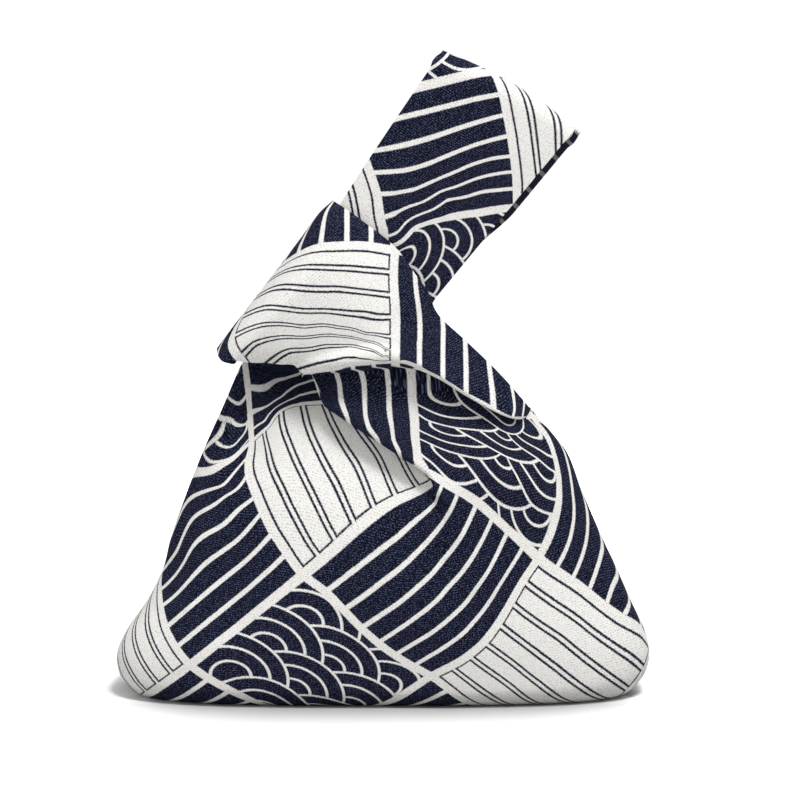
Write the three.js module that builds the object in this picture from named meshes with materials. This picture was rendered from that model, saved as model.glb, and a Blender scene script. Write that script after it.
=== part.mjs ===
// A knot bag of printed cotton cloth, standing on its soft flat base.
// Its long handle passes through the loop of its short handle, which lies drawn over it.
// Millimetres, +Z up. The front faces -Y and the origin is at the middle of the base.
// The bag is two cut panels, front and back, each in one piece with its half of both handles.

import * as THREE from 'three';

// Driving sizes
const BASE_WIDTH = 236;
const BODY_DEPTH = 88;
const CLOTH_THICKNESS = 1.6;
const SEAM_GAP = 0.3;
const BEND_EVENNESS = 0.15;
const FLOOR_CORNER_RADIUS = 9;
const FLOOR_END_INSET = 5;
const CENTRE_SEAM_SHARE = 0.88;
const LEFT_TOP = 146;
const RIGHT_TOP = 126;
const FOLD_TOP = 143.5;
const FOLD_HALF_WIDTH = 30;
const TURN_PLACE = 0.4;
const TIP_TURN = 0.15;
const TURN_SPREAD = 0.25;
const STRAP_HALF_GAP = 7;
const STRAP_CROWN = 1.2;
const STRAP_SETTLES_AT = 0.35;
const STRAP_END_ROUND = 0.05;

// Outline of the body seen from the front: distance of each side from the middle, at each height
const OUTLINE = [
  { z: 0, left: -115.5, right: 116.5 },
  { z: 8, left: -117.4, right: 117.4 },
  { z: 16, left: -117.6, right: 117.6 },
  { z: 27, left: -114, right: 115.4 },
  { z: 40, left: -105.6, right: 109.4 },
  { z: 55, left: -98.4, right: 102.2 },
  { z: 69, left: -94.8, right: 95.4 },
  { z: 91, left: -87, right: 86.2 },
  { z: 107, left: -79.8, right: 80.5 },
  { z: 118, left: -74.2, right: 74.2 },
  { z: 126, left: -70, right: 68.5 },
  { z: 146, left: -61.7, right: 58 },
];

// How far the cloth bulges from the middle plane at each height, and how square its plan is
const BULGE = [
  { z: 0, depth: 44, squareness: 3.3 },
  { z: 28, depth: 43.5, squareness: 3 },
  { z: 55, depth: 40.5, squareness: 2.6 },
  { z: 95, depth: 32, squareness: 2.35 },
  { z: 125, depth: 24, squareness: 2.2 },
  { z: 143, depth: 20, squareness: 2.2 },
  { z: 160, depth: 18, squareness: 2.2 },
];

// Height at which each side seam ends, and how far the open edges stand apart above it
const ARMHOLES = [
  { z: 0, left: 0.15, right: 0.15 },
  { z: 103, left: 0.15, right: 0.15 },
  { z: 108, left: 0.6, right: 1.5 },
  { z: 117, left: 2.5, right: 6 },
  { z: 126, left: 4.2, right: 10 },
  { z: 146, left: 6, right: 11 },
];

// The pleat where the right half of the cloth folds over the left half, from its tip to the knot:
// the edge that shows, how far the cloth is pushed together, and the steps between its layers
const FRONT_PLEAT = [
  { z: 0, edge: 42, push: 0, under: 0, over: 0 },
  { z: 60, edge: 34, push: 0, under: 0, over: 0 },
  { z: 82, edge: 28, push: 4, under: 0.6, over: 3 },
  { z: 94, edge: 23.5, push: 8.5, under: 2, over: 6 },
  { z: 101, edge: 20.5, push: 12.5, under: 3, over: 7 },
  { z: 108, edge: 10.3, push: 16.5, under: 3.4, over: 7 },
  { z: 121, edge: -10, push: 23.5, under: 3.6, over: 7 },
  { z: 127, edge: -19, push: 26, under: 3.6, over: 7 },
  { z: 131, edge: -24.8, push: 27.5, under: 3.6, over: 7 },
  { z: 143.5, edge: -30.5, push: 31, under: 3.8, over: 7 },
];
const BACK_PLEAT = [
  { z: 0, edge: 30, push: 0, under: 0, over: 0 },
  { z: 66, edge: 24, push: 0, under: 0, over: 0 },
  { z: 90, edge: 18, push: 4, under: 0.6, over: 3 },
  { z: 102, edge: 12, push: 8.5, under: 2, over: 6 },
  { z: 109, edge: 5, push: 12.5, under: 3, over: 7 },
  { z: 116, edge: -4, push: 16.5, under: 3.4, over: 7 },
  { z: 127, edge: -18, push: 23.5, under: 3.6, over: 7 },
  { z: 133, edge: -24.8, push: 27, under: 3.6, over: 7 },
  { z: 143.5, edge: -30.5, push: 31, under: 3.8, over: 7 },
];

// Soft folds in the body's cloth: each runs from one point to another, raised or sunk by its height
const FRONT_FOLDS = [
  { x1: -69, z1: 120, x2: -86, z2: 42, width: 7, height: 2.4 },
  { x1: -80, z1: 106, x2: -96, z2: 50, width: 6, height: -1.6 },
  { x1: -54, z1: 112, x2: -65, z2: 38, width: 9, height: -1.8 },
  { x1: -44, z1: 134, x2: -50, z2: 118, width: 7, height: 3 },
  { x1: 24, z1: 90, x2: 44, z2: 60, width: 10, height: 2 },
  { x1: -20, z1: 92, x2: 30, z2: 28, width: 22, height: 1.3 },
];
const BACK_FOLDS = [
  { x1: -66, z1: 124, x2: -84, z2: 50, width: 8, height: 2 },
  { x1: 62, z1: 112, x2: 84, z2: 44, width: 9, height: 1.8 },
  { x1: 12, z1: 96, x2: 30, z2: 24, width: 16, height: 1.4 },
];

// The short handle over the knot: its lower lip with the height of the valley behind or under it,
// its loop end, its inner and its outer edge
const LIP = [
  { across: 0, x: -33.1, z: 143.9, valley: -1.5 },
  { across: 0.12, x: -21, z: 145.6, valley: -2.5 },
  { across: 0.27, x: -6.6, z: 147.2, valley: -2.8 },
  { across: 0.39, x: 5.9, z: 148.1, valley: -2.6 },
  { across: 0.49, x: 15.5, z: 146.7, valley: -1.4 },
  { across: 0.59, x: 25.9, z: 142.1, valley: 0 },
  { across: 0.7, x: 37.2, z: 135, valley: 0.4 },
  { across: 0.85, x: 51.3, z: 127.2, valley: 0 },
  { across: 0.92, x: 59, z: 124.3, valley: -0.6 },
  { across: 0.97, x: 63.8, z: 124.6, valley: -1.4 },
  { across: 1, x: 66.7, z: 127.7, valley: -1.7 },
];
const LOOP_END = [
  { across: 0, x: -73.2, z: 154.8 },
  { across: 0.08, x: -69.1, z: 160.4 },
  { across: 0.2, x: -62.8, z: 168.5 },
  { across: 0.39, x: -53.4, z: 180.5 },
  { across: 0.73, x: -35.9, z: 203.4 },
  { across: 0.9, x: -27.4, z: 214.8 },
  { across: 1, x: -21.5, z: 220.2 },
];
const INNER_EDGE = [
  { along: 0, x: -33.1, z: 143.9 },
  { along: 0.065, x: -35.4, z: 145.6 },
  { along: 0.14, x: -37.6, z: 148 },
  { along: 0.28, x: -43.7, z: 148.3 },
  { along: 0.4, x: -49.2, z: 149 },
  { along: 0.54, x: -55, z: 149 },
  { along: 0.67, x: -60.9, z: 149.5 },
  { along: 0.79, x: -66, z: 149.9 },
  { along: 0.9, x: -70.9, z: 151.2 },
  { along: 1, x: -73.2, z: 154.8 },
];
const OUTER_EDGE = [
  { along: 0, x: 66.7, z: 127.7 },
  { along: 0.12, x: 56.3, z: 139.7 },
  { along: 0.21, x: 48.5, z: 147.7 },
  { along: 0.33, x: 37.6, z: 158 },
  { along: 0.43, x: 27.6, z: 167.2 },
  { along: 0.485, x: 23.7, z: 172.6 },
  { along: 0.54, x: 21.4, z: 179 },
  { along: 0.615, x: 15.7, z: 187 },
  { along: 0.73, x: 6.6, z: 199.3 },
  { along: 0.85, x: -5.2, z: 208.8 },
  { along: 0.945, x: -15.2, z: 216.1 },
  { along: 1, x: -21.5, z: 220.2 },
];

// Depth of the short handle's face across its width, and where it starts to turn round the loop end
const HANDLE_FACE = [
  { across: 0, depth: 27.5, turnsAt: 0.72 },
  { across: 0.15, depth: 31, turnsAt: 0.76 },
  { across: 0.4, depth: 33, turnsAt: 0.79 },
  { across: 0.65, depth: 32.5, turnsAt: 0.83 },
  { across: 0.85, depth: 27.5, turnsAt: 0.89 },
  { across: 0.95, depth: 20, turnsAt: 0.92 },
  { across: 1, depth: 12, turnsAt: 0.93 },
];
const LIP_RIDGE_HEIGHT = 4.5;
const LIP_RIDGE_AT = 0.08;
const LIP_RIDGE_SPREAD = 0.11;

// The long handle: its two long edges as straight lines from the body to the loop end
const LONG_HANDLE = {
  leftFoot: { x: -61.7, z: 146 },
  leftEnd: { x: 27.7, z: 286.6 },
  rightEnd: { x: 87.8, z: 252.3 },
  leftBow: 2.4,
};

const FRONT = {
  name: 'front_panel',
  facing: -1,
  pleat: FRONT_PLEAT,
  folds: FRONT_FOLDS,
  handleShift: { x: 0, z: 0 },
};
const BACK = {
  name: 'back_panel',
  facing: 1,
  pleat: BACK_PLEAT,
  folds: BACK_FOLDS,
  handleShift: { x: 2.4, z: -2 },
};

// Places of the mesh lines across the cloth: 0 to 1 left of the pleat, 1 to 2 in it, 2 to 3 right of it
const LEFT_COLUMNS = 8;
const RIGHT_COLUMNS = 9;
const SIDE_CROWDING = 1.7;
const PLEAT_STOPS = [
  -1, -0.78, -0.62, -0.5, -TURN_PLACE, -0.32, -0.22, -0.08, 0.08, 0.2, 0.29, 0.35,
  TURN_PLACE, 0.46, 0.53, 0.62, 0.8, 1,
];
const WALL_ROWS = 23;
const WALL_CROWDING = 1.35;
const FLOOR_ROWS = 3;
const CORNER_ROWS = 3;
const LONG_HANDLE_ROWS = 13;
const SHORT_HANDLE_STOPS = [0, 0.04, 0.08, 0.125, 0.19, 0.28, 0.38, 0.48, 0.58, 0.68];
const LOOP_TURN_ROWS = 5;

function clamp(value, low, high) {
  return Math.min(Math.max(value, low), high);
}

function mix(from, to, share) {
  return from + (to - from) * share;
}

function smooth(share) {
  const t = clamp(share, 0, 1);
  return t * t * (3 - 2 * t);
}

// A table's column read at any place along its key, on one smooth curve through the rows
function readTable(table, key, at, column) {
  const last = table.length - 1;
  if (at <= table[0][key]) return table[0][column];
  if (at >= table[last][key]) return table[last][column];
  const upper = table.findIndex((row) => row[key] > at);
  const slopeAt = (index) => {
    const before = table[Math.max(index - 1, 0)];
    const after = table[Math.min(index + 1, last)];
    return (after[column] - before[column]) / (after[key] - before[key]);
  };
  const from = table[upper - 1];
  const to = table[upper];
  const span = to[key] - from[key];
  const t = (at - from[key]) / span;
  const ease = t * t * (3 - 2 * t);
  const leave = t * (1 - t) * (1 - t) * span * slopeAt(upper - 1);
  const arrive = t * t * (t - 1) * span * slopeAt(upper);
  return mix(from[column], to[column], ease) + leave + arrive;
}

// A step from -1 to 1 that takes a round turn about its middle
function roundStep(offset) {
  return Math.sin((clamp(offset / TURN_SPREAD, -1, 1) * Math.PI) / 2);
}

// Where the pleat's cloth turns back, as a share of its half width, for how far it is pushed together.
// Below the tip nothing turns back, and the places spread out again.
function turnFor(push) {
  const tipPush = FOLD_HALF_WIDTH / Math.PI;
  if (push <= tipPush) return mix(TURN_PLACE, TIP_TURN, push / tipPush);
  return Math.max(TIP_TURN, Math.acos(tipPush / push) / Math.PI);
}

// The pleat's section at one height, at a place from -1 to 1: its distance from the pleat's middle
// before and after the push, and its step in depth. The cloth turns at TURN_PLACE on either side.
function pleatSection(side, height) {
  const read = (column) => readTable(side.pleat, 'z', height, column);
  const push = read('push');
  const turn = turnFor(push);
  const unpushed = (place) => {
    const away = Math.abs(place);
    const inside = (away * turn) / TURN_PLACE;
    const outside = mix(turn, 1, (away - TURN_PLACE) / (1 - TURN_PLACE));
    return Math.sign(place) * (away < TURN_PLACE ? inside : outside);
  };
  const plain = (place) => FOLD_HALF_WIDTH * unpushed(place);
  const pushed = (place) => plain(place) - push * Math.sin(Math.PI * unpushed(place));
  const step = (place) => {
    const t = unpushed(place);
    const hidden = (read('under') * (1 - roundStep(t + turn))) / 2;
    const visible = (read('over') * (1 + roundStep(t - turn))) / 2;
    return hidden - visible;
  };
  return { centre: read('edge') - pushed(TURN_PLACE), plain, pushed, step };
}

// How much the soft folds raise the cloth at a place seen from the front
function foldHeight(side, x, z) {
  let height = 0;
  for (const fold of side.folds) {
    const dx = fold.x2 - fold.x1;
    const dz = fold.z2 - fold.z1;
    const along = ((x - fold.x1) * dx + (z - fold.z1) * dz) / (dx * dx + dz * dz);
    const nearest = clamp(along, 0, 1);
    const away = Math.hypot(x - fold.x1 - dx * nearest, z - fold.z1 - dz * nearest);
    height += fold.height * Math.exp(-((away / fold.width) ** 2));
  }
  return height;
}

// Height of the body's upper edge under the knot, at a column whose upper end is at x
function topHeight(across, x) {
  const turnAcross = 1.5 + TURN_PLACE / 2;
  if (across >= turnAcross) {
    const share = clamp((x - LIP[0].x) / (LIP.at(-1).x - LIP[0].x), 0, 1);
    return readTable(LIP, 'across', share, 'z') + readTable(LIP, 'across', share, 'valley');
  }
  const leftShare = clamp(across / (1.5 - TURN_PLACE / 2), 0, 1);
  return mix(LEFT_TOP, FOLD_TOP, leftShare);
}

// A point of the body's wall: up runs from 0 at the floor's round corner to 1 under the knot
function wallPoint(side, across, up) {
  const rise = (top) => mix(FLOOR_CORNER_RADIUS, top, up);
  const left = readTable(OUTLINE, 'z', rise(LEFT_TOP), 'left');
  const right = readTable(OUTLINE, 'z', rise(RIGHT_TOP), 'right');
  const pleat = pleatSection(side, rise(FOLD_TOP));
  const place = clamp(across * 2 - 3, -1, 1);
  const leftShare = 1 - clamp(across, 0, 1) ** SIDE_CROWDING;
  const rightShare = 1 - clamp(3 - across, 0, 1) ** SIDE_CROWDING;
  const spread = (from, to, middle) => {
    if (across < 1) return mix(middle, from, leftShare);
    return mix(middle, to, across > 2 ? rightShare : 0);
  };
  const plainX = spread(left, right, pleat.centre + pleat.plain(place));
  const x = spread(left, right, pleat.centre + pleat.pushed(place));

  const topPleat = pleatSection(side, FOLD_TOP);
  const topLeft = readTable(OUTLINE, 'z', LEFT_TOP, 'left');
  const topRight = readTable(OUTLINE, 'z', RIGHT_TOP, 'right');
  const topX = spread(topLeft, topRight, topPleat.centre + topPleat.pushed(place));
  const z = rise(topHeight(across, topX));

  const half = (right - left) / 2;
  const sideways = clamp((plainX - (left + right) / 2) / half, -1, 1);
  const squareness = readTable(BULGE, 'z', z, 'squareness');
  const roundness = (1 - Math.abs(sideways) ** squareness) ** (1 / squareness);
  const leftGap = readTable(ARMHOLES, 'z', rise(LEFT_TOP), 'left');
  const rightGap = readTable(ARMHOLES, 'z', rise(RIGHT_TOP), 'right');
  const edgeDepth = mix(leftGap, rightGap, (sideways + 1) / 2);
  const fullDepth = readTable(BULGE, 'z', z, 'depth');
  const leftFade = across < 1 ? smooth(across) : 1;
  const rightFade = across > 2 ? 1 - smooth(across - 2) : 1;
  const step = pleat.step(place) * leftFade * rightFade;
  const raised = foldHeight(side, x, z) * roundness;
  const depth = edgeDepth + (fullDepth - edgeDepth) * roundness - step + raised;
  return new THREE.Vector3(x, side.facing * Math.max(depth, SEAM_GAP / 2), z);
}

// A point of the body: up runs from -2 at the base's middle seam, over -1 at the floor's edge
// and 0 at the top of the round corner, to 1 under the knot
function bodyPoint(side, across, up) {
  if (up >= 0) return wallPoint(side, across, up);
  const wall = wallPoint(side, across, 0);
  const angle = clamp(up + 1, 0, 1) * (Math.PI / 2);
  const inset = 1 - Math.sin(angle);
  const floorShare = clamp(up + 2, 0, 1);
  const endShare = 1 - (inset * FLOOR_END_INSET) / (BASE_WIDTH / 2);
  const depthShare = 1 - (inset * FLOOR_CORNER_RADIUS) / (BODY_DEPTH / 2);
  wall.x *= endShare * mix(CENTRE_SEAM_SHARE, 1, floorShare);
  const depth = Math.abs(wall.y) * depthShare * floorShare;
  wall.y = side.facing * Math.max(depth, SEAM_GAP / 2);
  wall.z = FLOOR_CORNER_RADIUS * (1 - Math.cos(angle));
  return wall;
}

// A point of the long handle's half: across runs over its width, along from the body to its end
function longHandlePoint(side, foot, across, along) {
  const shiftShare = smooth(along / STRAP_SETTLES_AT);
  const edge = (from, to) => ({
    x: mix(from.x, to.x, along) + side.handleShift.x * shiftShare,
    z: mix(from.z, to.z, along) + side.handleShift.z * shiftShare,
  });
  const left = edge(LONG_HANDLE.leftFoot, LONG_HANDLE.leftEnd);
  const right = edge(foot.right, LONG_HANDLE.rightEnd);
  const bow = LONG_HANDLE.leftBow * Math.sin(Math.PI * along) * (1 - across);
  const x = mix(left.x, right.x, across) - bow;
  const z = mix(left.z, right.z, across);
  const flat = STRAP_HALF_GAP + STRAP_CROWN * Math.sin(Math.PI * across);
  const settled = smooth(along / STRAP_SETTLES_AT);
  const depth = mix(Math.abs(foot.y), flat, settled);
  const end = clamp((along - 1 + STRAP_END_ROUND) / STRAP_END_ROUND, 0, 1);
  const round = depth * Math.sqrt(1 - end * end);
  return new THREE.Vector3(x, side.facing * Math.max(round, SEAM_GAP / 2), z);
}

// A point of the short handle's half: a patch between its lip, its loop end and its two edges
function shortHandlePoint(side, across, along) {
  const turnsAt = readTable(HANDLE_FACE, 'across', across, 'turnsAt');
  const patch = (axis) => {
    const lip = readTable(LIP, 'across', across, axis);
    const end = readTable(LOOP_END, 'across', across, axis);
    const inner = readTable(INNER_EDGE, 'along', along, axis);
    const outer = readTable(OUTER_EDGE, 'along', along, axis);
    const nearCorners = mix(LIP[0][axis], LIP.at(-1)[axis], across);
    const farCorners = mix(LOOP_END[0][axis], LOOP_END.at(-1)[axis], across);
    return mix(lip, end, along) + mix(inner, outer, across) - mix(nearCorners, farCorners, along);
  };
  const ridge = Math.exp(-(((along - LIP_RIDGE_AT) / LIP_RIDGE_SPREAD) ** 2));
  const face = readTable(HANDLE_FACE, 'across', across, 'depth');
  const raised = LIP_RIDGE_HEIGHT * ridge * Math.sin(Math.PI * across) ** 0.6;
  const turn = clamp((along - turnsAt) / (1 - turnsAt), 0, 1);
  const depth = (face + raised) * Math.sqrt(1 - turn * turn);
  return new THREE.Vector3(patch('x'), side.facing * Math.max(depth, SEAM_GAP / 2), patch('z'));
}

// A closed sheet of even thickness from grids of points that share the points where they meet
class Sheet {
  constructor(facing) {
    this.facing = facing;
    this.points = [];
    this.faces = [];
  }

  addPoint(point) {
    this.points.push(point);
    return this.points.length - 1;
  }

  // Two triangles for each cell between neighbouring rows of point numbers, cut on its short diagonal
  join(rows) {
    const span = (from, to) => this.points[from].distanceTo(this.points[to]);
    for (let row = 1; row < rows.length; row += 1) {
      for (let column = 1; column < rows[row].length; column += 1) {
        const a = rows[row - 1][column - 1];
        const b = rows[row - 1][column];
        const c = rows[row][column];
        const d = rows[row][column - 1];
        const halves = span(a, c) < span(b, d) ? [[a, b, c], [a, c, d]] : [[a, b, d], [b, c, d]];
        if (this.facing > 0) halves.forEach((half) => half.reverse());
        this.faces.push(...halves);
      }
    }
  }

  // Each point's direction out of the cloth, evened out with its neighbours' at sharp bends
  normals() {
    const sums = this.points.map(() => new THREE.Vector3());
    for (const [a, b, c] of this.faces) {
      const ab = this.points[b].clone().sub(this.points[a]);
      const ac = this.points[c].clone().sub(this.points[a]);
      const normal = ab.cross(ac).normalize();
      for (const index of [a, b, c]) sums[index].add(normal);
    }
    sums.forEach((sum) => sum.normalize());
    const even = sums.map((sum) => sum.clone());
    for (const face of this.faces) {
      for (const from of face) {
        for (const to of face) even[to].addScaledVector(sums[from], BEND_EVENNESS);
      }
    }
    return even.map((sum) => sum.normalize());
  }

  // The inner face lies one thickness inside and never crosses the seam plane
  geometry(thickness) {
    const normals = this.normals();
    const count = this.points.length;
    const inner = this.points.map((point, index) => {
      const moved = point.clone().addScaledVector(normals[index], -thickness);
      const depth = Math.max(moved.y * this.facing, SEAM_GAP / 2);
      return new THREE.Vector3(moved.x, depth * this.facing, moved.z);
    });
    const triangles = this.faces.map((face) => [...face]);
    for (const [a, b, c] of this.faces) triangles.push([c + count, b + count, a + count]);
    const edges = new Map();
    for (const [a, b, c] of this.faces) {
      for (const [from, to] of [[a, b], [b, c], [c, a]]) edges.set(`${from} ${to}`, [from, to]);
    }
    for (const [from, to] of edges.values()) {
      if (edges.has(`${to} ${from}`)) continue;
      triangles.push([to, from, from + count], [to, from + count, to + count]);
    }
    const geometry = new THREE.BufferGeometry();
    const places = [...this.points, ...inner].flatMap((point) => point.toArray());
    geometry.setAttribute('position', new THREE.Float32BufferAttribute(places, 3));
    geometry.setIndex(triangles.flat());
    geometry.computeVertexNormals();
    return geometry;
  }
}

function columnPlaces() {
  const places = [];
  for (let i = 0; i < LEFT_COLUMNS; i += 1) places.push(i / LEFT_COLUMNS);
  for (const stop of PLEAT_STOPS) places.push(1.5 + stop / 2);
  for (let i = 1; i <= RIGHT_COLUMNS; i += 1) places.push(2 + i / RIGHT_COLUMNS);
  return places;
}

function rowPlaces() {
  const places = [];
  for (let i = 0; i < FLOOR_ROWS; i += 1) places.push(-2 + i / FLOOR_ROWS);
  for (let i = 0; i < CORNER_ROWS; i += 1) places.push(-1 + i / CORNER_ROWS);
  for (let i = 0; i <= WALL_ROWS; i += 1) places.push(1 - (1 - i / WALL_ROWS) ** WALL_CROWDING);
  return places;
}

// One panel: the body's half with its half of the long handle and of the short handle
function panelGeometry(side) {
  const sheet = new Sheet(side.facing);
  const columns = columnPlaces();
  const body = rowPlaces().map((up) =>
    columns.map((across) => sheet.addPoint(bodyPoint(side, across, up))),
  );
  sheet.join(body);
  const top = body.at(-1);

  const hiddenTurn = LEFT_COLUMNS + PLEAT_STOPS.indexOf(-TURN_PLACE);
  const longFoot = top.slice(0, hiddenTurn + 1);
  const footPoints = longFoot.map((index) => sheet.points[index]);
  const footLeft = footPoints[0];
  const footRight = footPoints.at(-1);
  const longRows = [longFoot];
  for (let row = 1; row <= LONG_HANDLE_ROWS; row += 1) {
    const even = row / LONG_HANDLE_ROWS;
    const along = row === LONG_HANDLE_ROWS - 1 ? 1 - STRAP_END_ROUND * 0.4 : even;
    longRows.push(footPoints.map((point) => {
      const across = (point.x - footLeft.x) / (footRight.x - footLeft.x);
      const foot = { y: point.y, right: footRight };
      return sheet.addPoint(longHandlePoint(side, foot, across, along));
    }));
  }
  sheet.join(longRows);

  const visibleTurn = LEFT_COLUMNS + PLEAT_STOPS.indexOf(TURN_PLACE);
  const shortFoot = top.slice(visibleTurn);
  const shortPoints = shortFoot.map((index) => sheet.points[index]);
  const shortLeft = shortPoints[0].x;
  const shortRight = shortPoints.at(-1).x;
  const shares = shortPoints.map((point) => (point.x - shortLeft) / (shortRight - shortLeft));
  const shortRows = [shortFoot];
  for (const along of SHORT_HANDLE_STOPS) {
    shortRows.push(shares.map((share) => sheet.addPoint(shortHandlePoint(side, share, along))));
  }
  const lastStop = SHORT_HANDLE_STOPS.at(-1);
  for (let row = 1; row <= LOOP_TURN_ROWS; row += 1) {
    const turned = Math.sin(((row / LOOP_TURN_ROWS) * Math.PI) / 2);
    shortRows.push(shares.map((share) => {
      const turnsAt = readTable(HANDLE_FACE, 'across', share, 'turnsAt');
      const along = mix(Math.max(turnsAt, lastStop), 1, turned);
      return sheet.addPoint(shortHandlePoint(side, share, along));
    }));
  }
  sheet.join(shortRows);
  return sheet.geometry(CLOTH_THICKNESS);
}

// Navy printed cotton cloth
function panelMaterial() {
  return new THREE.MeshStandardMaterial({ color: 0x2a2f45, roughness: 0.9, metalness: 0 });
}

const knotBag = new THREE.Group();
for (const side of [FRONT, BACK]) {
  const panel = new THREE.Mesh(panelGeometry(side), panelMaterial());
  panel.name = side.name;
  knotBag.add(panel);
}

export default knotBag;
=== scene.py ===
"""A knot bag of printed cotton cloth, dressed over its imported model.

Each panel of the bag is one sheet of cloth: its half of the body, of the long handle and of the
short handle. The print's squares are laid on the cloth by the seams between them, as the photograph
shows them, so that they follow its folds. The front faces -Y and the base's middle is the origin.
"""

import math

import bmesh
import bpy
import numpy as np
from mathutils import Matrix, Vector


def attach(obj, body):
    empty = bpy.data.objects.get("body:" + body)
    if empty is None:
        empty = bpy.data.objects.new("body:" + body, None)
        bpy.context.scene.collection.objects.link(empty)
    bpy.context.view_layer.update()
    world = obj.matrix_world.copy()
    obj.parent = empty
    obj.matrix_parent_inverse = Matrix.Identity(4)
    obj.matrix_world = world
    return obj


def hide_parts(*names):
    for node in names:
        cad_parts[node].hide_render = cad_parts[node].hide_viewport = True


bl_info = {
    "name": "Knot Bag",
    "version": (1, 0, 0),
    "blender": (4, 5, 0),
    "location": "3D View > Sidebar > Knot Bag",
    "description": "A knot bag of printed cotton cloth with a long and a short handle",
    "category": "Add Mesh",
}

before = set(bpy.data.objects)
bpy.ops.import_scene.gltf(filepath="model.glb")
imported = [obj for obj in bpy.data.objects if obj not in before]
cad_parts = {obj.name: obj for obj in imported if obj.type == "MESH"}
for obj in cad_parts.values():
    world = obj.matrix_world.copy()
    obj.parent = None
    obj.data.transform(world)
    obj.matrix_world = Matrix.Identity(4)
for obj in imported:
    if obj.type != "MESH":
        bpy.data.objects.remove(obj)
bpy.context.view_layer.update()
MM = 0.001


def table(columns, *rows):
    """Rows of sizes under named columns, with None where a size isn't known."""
    names = columns.split()
    values = [[math.nan if value is None else value for value in row] for row in rows]
    return {name: np.array([row[index] for row in values], float) for index, name in enumerate(names)}


# Driving sizes of the bag in millimetres, with places and shares from 0 to 1
FLOOR_CORNER_RADIUS = 9
FLOOR_END_INSET = 10
BASE_WIDTH = 236
BODY_DEPTH = 88
SEAM_GAP = 0.3
CENTRE_SEAM_SHARE = 0.88
LEFT_TOP = 146
RIGHT_TOP = 126
FOLD_TOP = 143.5
FOLD_HALF_WIDTH = 30
TURN_PLACE = 0.4
TIP_TURN = 0.15
TURN_SPREAD = 0.25
STRAP_HALF_GAP = 7
STRAP_CROWN = 1.2
STRAP_SETTLES_AT = 0.35
STRAP_END_ROUND = 0.05
STRAP_SLIPS_FROM = 0.5
STRAP_SLIP_LENGTH = 0.18
FOOT_SETTLES_AT = 0.08

# Outline of the body seen from the front: distance of each side from the middle, at each height
OUTLINE = table(
    "z left right",
    (0, -114, 110.5),
    (8, -117.4, 118),
    (17, -118.8, 120.8),
    (27, -115, 119),
    (40, -106, 113),
    (55, -98.4, 106.4),
    (69, -94.8, 99.8),
    (91, -87, 90.2),
    (107, -80.6, 84),
    (118, -75.6, 75.4),
    (126, -71.8, 68.5),
    (146, -63, 58),
)

# How far the cloth bulges from the middle plane at each height, and how square its plan is
BULGE = table(
    "z depth squareness",
    (0, 44, 3.3),
    (28, 43.5, 3),
    (55, 40.5, 2.6),
    (95, 32, 2.35),
    (125, 24, 2.2),
    (143, 20, 2.2),
    (160, 18, 2.2),
)

# Half the gap between the open edges above each side seam's end
ARMHOLES = table(
    "z left right",
    (0, 0.15, 0.15),
    (103, 0.15, 0.15),
    (108, 0.6, 1.5),
    (117, 2.5, 6),
    (126, 4.2, 10),
    (146, 6, 11),
)

# The pleat of each panel, from its tip to the knot: the edge that shows, how far the cloth is pushed
# together, and the steps between its layers
FRONT_PLEAT = table(
    "z edge push under over",
    (0, 42, 0, 0, 0),
    (60, 34, 0, 0, 0),
    (82, 28, 4, 0.6, 3),
    (94, 23.5, 8.5, 2, 6),
    (101, 20.5, 12.5, 3, 7),
    (108, 10.3, 16.5, 3.4, 7),
    (121, -10, 23.5, 3.6, 7),
    (127, -19, 26, 3.6, 7),
    (131, -24.8, 27.5, 3.6, 7),
    (143.5, -30.5, 31, 3.8, 7),
)
BACK_PLEAT = table(
    "z edge push under over",
    (0, 30, 0, 0, 0),
    (66, 24, 0, 0, 0),
    (90, 18, 4, 0.6, 3),
    (102, 12, 8.5, 2, 6),
    (109, 5, 12.5, 3, 7),
    (116, -4, 16.5, 3.4, 7),
    (127, -18, 23.5, 3.6, 7),
    (133, -24.8, 27, 3.6, 7),
    (143.5, -30.5, 31, 3.8, 7),
)

# Soft folds in the body's cloth: each runs from one point to another, raised or sunk by its height
FRONT_FOLDS = table(
    "x1 z1 x2 z2 width height",
    (-69, 120, -86, 42, 7, 2.4),
    (-80, 106, -96, 50, 6, -1.6),
    (-54, 112, -65, 38, 9, -1.8),
    (-46, 128, -50, 118, 7, 1.4),
    (-60, 148, -28, 142, 11, -12),
    (24, 90, 44, 60, 10, 2),
    (-20, 92, 30, 28, 22, 1.3),
)
BACK_FOLDS = table(
    "x1 z1 x2 z2 width height",
    (-66, 124, -84, 50, 8, 2),
    (62, 112, 84, 44, 9, 1.8),
    (12, 96, 30, 24, 16, 1.4),
)

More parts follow.
